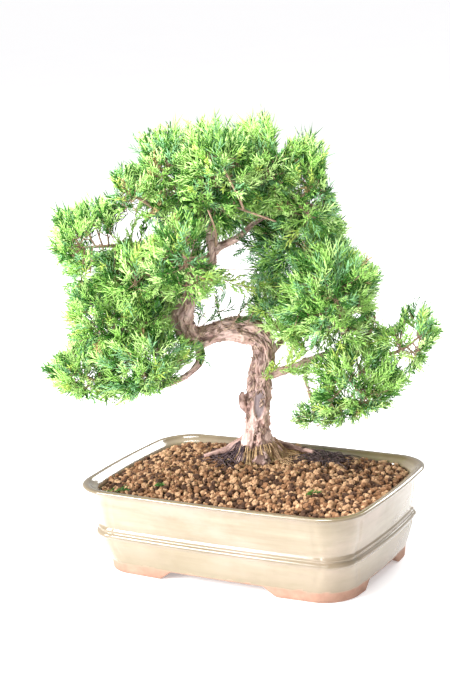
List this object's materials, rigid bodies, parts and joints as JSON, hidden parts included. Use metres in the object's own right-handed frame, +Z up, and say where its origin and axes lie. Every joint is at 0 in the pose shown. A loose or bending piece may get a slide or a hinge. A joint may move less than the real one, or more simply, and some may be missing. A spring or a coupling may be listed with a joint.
{
  "type": "juniper bonsai in a pot",
  "caption": "Small trained juniper tree with a curved trunk and separate masses of fine foliage, standing in a glazed oblong pot filled with grit soil.",
  "frame": {"origin": "on the table under the middle of the whole plant's box", "axes": "+Z up, X along the pot's long side, Y along its short side with the front at -Y; the tree spreads in a plane turned 30.8 degrees from X towards +Y"},
  "size_m": [0.2328, 0.1894, 0.288],
  "materials": {
    "pot": "glossy khaki stoneware glaze over salmon clay feet",
    "soil": "dry brown clay grit, matt",
    "bark": "rough flaking bark",
    "foliage": "fine scale leaves, slightly waxy"
  },
  "bodies": {
    "root": {"pot": "pot", "soil": "soil", "trunk": "bark", "root_left": "bark", "root_right": "bark", "bough_lower_left": "bark", "bough_lower_left_side": "bark", "bough_middle_left": "bark", "bough_inner_left": "bark", "bough_upper_left": "bark", "bough_shoulder": "bark", "bough_front": "bark", "bough_crown_left": "bark", "bough_crown_right": "bark", "bough_apex_right": "bark", "bough_right_drop": "bark", "bough_lower_right": "bark", "bough_riser": "bark", "bough_right_side": "bark", "bough_right_low": "bark", "bough_hanging": "bark", "bough_inner_right": "bark", "bough_back_left": "bark", "bough_back_right": "bark", "bough_back_crown": "bark", "foliage_apex": "foliage", "foliage_apex_left": "foliage", "foliage_apex_right": "foliage", "foliage_crown_right": "foliage", "foliage_crown_back": "foliage", "foliage_shoulder": "foliage", "foliage_outer_left": "foliage", "foliage_inner_left": "foliage", "foliage_front": "foliage", "foliage_middle_left": "foliage", "foliage_lower_left": "foliage", "foliage_left_tip": "foliage", "foliage_back_left": "foliage", "foliage_upper_right": "foliage", "foliage_middle_right": "foliage", "foliage_inner_right": "foliage", "foliage_right_side": "foliage", "foliage_right_tip": "foliage", "foliage_right_low": "foliage", "foliage_hanging": "foliage", "foliage_back_right": "foliage"}
  },
  "joints": []
}
